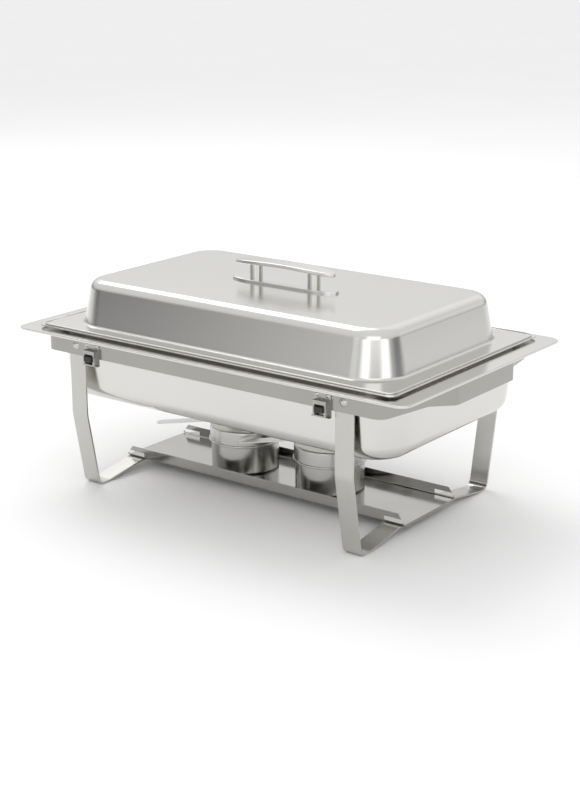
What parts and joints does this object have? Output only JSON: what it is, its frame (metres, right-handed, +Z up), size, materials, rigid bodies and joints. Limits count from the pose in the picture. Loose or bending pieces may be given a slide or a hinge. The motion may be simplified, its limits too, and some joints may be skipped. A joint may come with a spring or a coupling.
{
  "type": "chafing dish",
  "caption": "Rectangular folding chafing dish in stainless steel: domed cover, food pan and water pan on a strip frame with U-legs, over a shelf with lidded fuel holders.",
  "frame": {"origin": "on the floor below the middle of the dish", "axes": "+X along the length of the dish, +Z up, the front long side faces -Y"},
  "size_m": [0.58, 0.354, 0.2887],
  "materials": {
    "satin_steel": "satin brushed stainless steel",
    "polished_steel": "polished stainless steel",
    "frame_steel": "semi-bright stainless strip",
    "dark_catch": "black moulded catch",
    "spring_steel": "drawn spring wire"
  },
  "bodies": {
    "frame": {"frame_band": "frame_steel", "leg_rivets": "polished_steel", "latch_rivets": "polished_steel", "latch_springs": "spring_steel", "latch_housing_front_right": "polished_steel", "latch_housing_front_left": "polished_steel", "latch_housing_back_right": "polished_steel", "latch_housing_back_left": "polished_steel"},
    "water_pan": {"water_pan": "satin_steel"},
    "food_pan": {"food_pan": "satin_steel"},
    "cover": {"cover": "satin_steel", "handle_base_plate": "polished_steel", "handle_grip": "polished_steel", "handle_post_left": "polished_steel", "handle_post_right": "polished_steel", "handle_screws": "polished_steel", "handle_washers": "polished_steel"},
    "leg_left": {"leg_left": "frame_steel"},
    "leg_right": {"leg_right": "frame_steel"},
    "fuel_shelf": {"fuel_shelf": "polished_steel"},
    "fuel_holder_left": {"fuel_holder_left": "polished_steel"},
    "snuffer_left": {"snuffer_lid_left": "polished_steel", "snuffer_handle_left": "polished_steel"},
    "fuel_holder_right": {"fuel_holder_right": "polished_steel"},
    "snuffer_right": {"snuffer_lid_right": "polished_steel", "snuffer_handle_right": "polished_steel"},
    "catch_front_right": {"latch_catch_front_right": "dark_catch"},
    "catch_front_left": {"latch_catch_front_left": "dark_catch"},
    "catch_back_right": {"latch_catch_back_right": "dark_catch"},
    "catch_back_left": {"latch_catch_back_left": "dark_catch"}
  },
  "joints": [
    {"name": "water_pan_lift", "type": "slide", "parent": "frame", "child": "water_pan", "axis": [0, 0, 1], "range_m": [0, 0.2]},
    {"name": "food_pan_lift", "type": "slide", "parent": "water_pan", "child": "food_pan", "axis": [0, 0, 1], "range_m": [0, 0.1]},
    {"name": "cover_lift", "type": "slide", "parent": "food_pan", "child": "cover", "axis": [0, 0, 1], "range_m": [0, 0.12]},
    {"name": "fuel_shelf_lift", "type": "slide", "parent": "frame", "child": "fuel_shelf", "axis": [0, 0, 1], "range_m": [0, 0.2]},
    {"name": "leg_left_fold", "type": "hinge", "parent": "frame", "child": "leg_left", "pos_m": [-0.201, 0, 0.1871], "axis": [0, -1, 0], "range_deg": [0, 90]},
    {"name": "leg_right_fold", "type": "hinge", "parent": "frame", "child": "leg_right", "pos_m": [0.201, 0, 0.1871], "axis": [0, 1, 0], "range_deg": [0, 90]},
    {"name": "fuel_holder_left_lift", "type": "slide", "parent": "fuel_shelf", "child": "fuel_holder_left", "axis": [0, 0, 1], "range_m": [0, 0.018]},
    {"name": "snuffer_left_lift", "type": "slide", "parent": "fuel_holder_left", "child": "snuffer_left", "axis": [0, 0, 1], "range_m": [0, 0.022]},
    {"name": "fuel_holder_right_lift", "type": "slide", "parent": "fuel_shelf", "child": "fuel_holder_right", "axis": [0, 0, 1], "range_m": [0, 0.018]},
    {"name": "snuffer_right_lift", "type": "slide", "parent": "fuel_holder_right", "child": "snuffer_right", "axis": [0, 0, 1], "range_m": [0, 0.022]},
    {"name": "catch_front_right_press", "type": "slide", "parent": "frame", "child": "catch_front_right", "axis": [0, 0, -1], "range_m": [0, 0.0035], "stiffness_N_per_m": 600, "springref_m": -0.001},
    {"name": "catch_front_left_press", "type": "slide", "parent": "frame", "child": "catch_front_left", "axis": [0, 0, -1], "range_m": [0, 0.0035], "stiffness_N_per_m": 600, "springref_m": -0.001},
    {"name": "catch_back_right_press", "type": "slide", "parent": "frame", "child": "catch_back_right", "axis": [0, 0, -1], "range_m": [0, 0.0035], "stiffness_N_per_m": 600, "springref_m": -0.001},
    {"name": "catch_back_left_press", "type": "slide", "parent": "frame", "child": "catch_back_left", "axis": [0, 0, -1], "range_m": [0, 0.0035], "stiffness_N_per_m": 600, "springref_m": -0.001}
  ],
  "couplings": [
    {"joint": "fuel_shelf_lift", "follows": "water_pan_lift", "ratio": 1},
    {"joint": "leg_left_fold", "follows": "water_pan_lift", "rad_per_m": 7.854},
    {"joint": "leg_right_fold", "follows": "water_pan_lift", "rad_per_m": 7.854}
  ]
}
